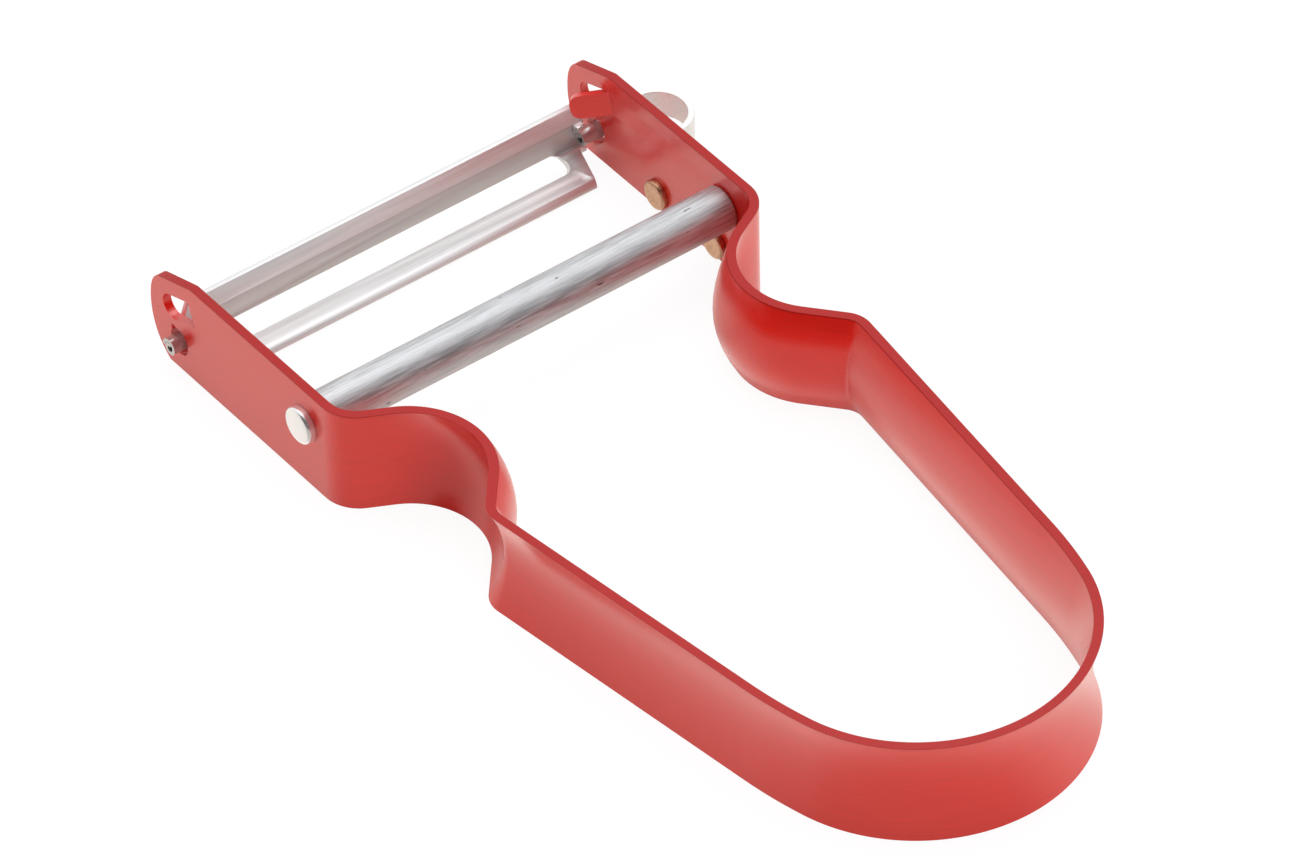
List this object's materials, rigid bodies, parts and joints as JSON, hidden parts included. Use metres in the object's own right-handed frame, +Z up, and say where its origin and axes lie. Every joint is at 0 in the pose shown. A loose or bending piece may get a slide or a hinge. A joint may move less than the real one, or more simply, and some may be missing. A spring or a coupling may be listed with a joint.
{
  "type": "vegetable peeler",
  "caption": "Hand peeler bent from one red strip, with a slotted blade that swings across its cheeks, a crossbar and a side loop for eyes.",
  "frame": {"origin": "middle of the handle's bow, half way through the strip, on its lower edge", "axes": "+Y from the bow to the blade, +X to the side of the eye remover, +Z up from the edge that the peeler lies on"},
  "size_m": [0.0656, 0.1101, 0.0124],
  "materials": {
    "band": "satin red anodised",
    "bar": "drawn, lightly scratched",
    "blade": "satin",
    "eye": "satin",
    "rivet": "copper coloured, bright"
  },
  "bodies": {
    "frame": {"handle_band": "band", "crossbar": "bar", "eye_remover": "eye", "rivet_front": "rivet", "rivet_rear": "rivet"},
    "blade": {"blade": "blade"}
  },
  "joints": [
    {"name": "blade_swing", "type": "hinge", "parent": "frame", "child": "blade", "pos_m": [0, 0.1047, 0.0035], "axis": [1, 0, 0], "range_deg": [-75, 21]}
  ]
}
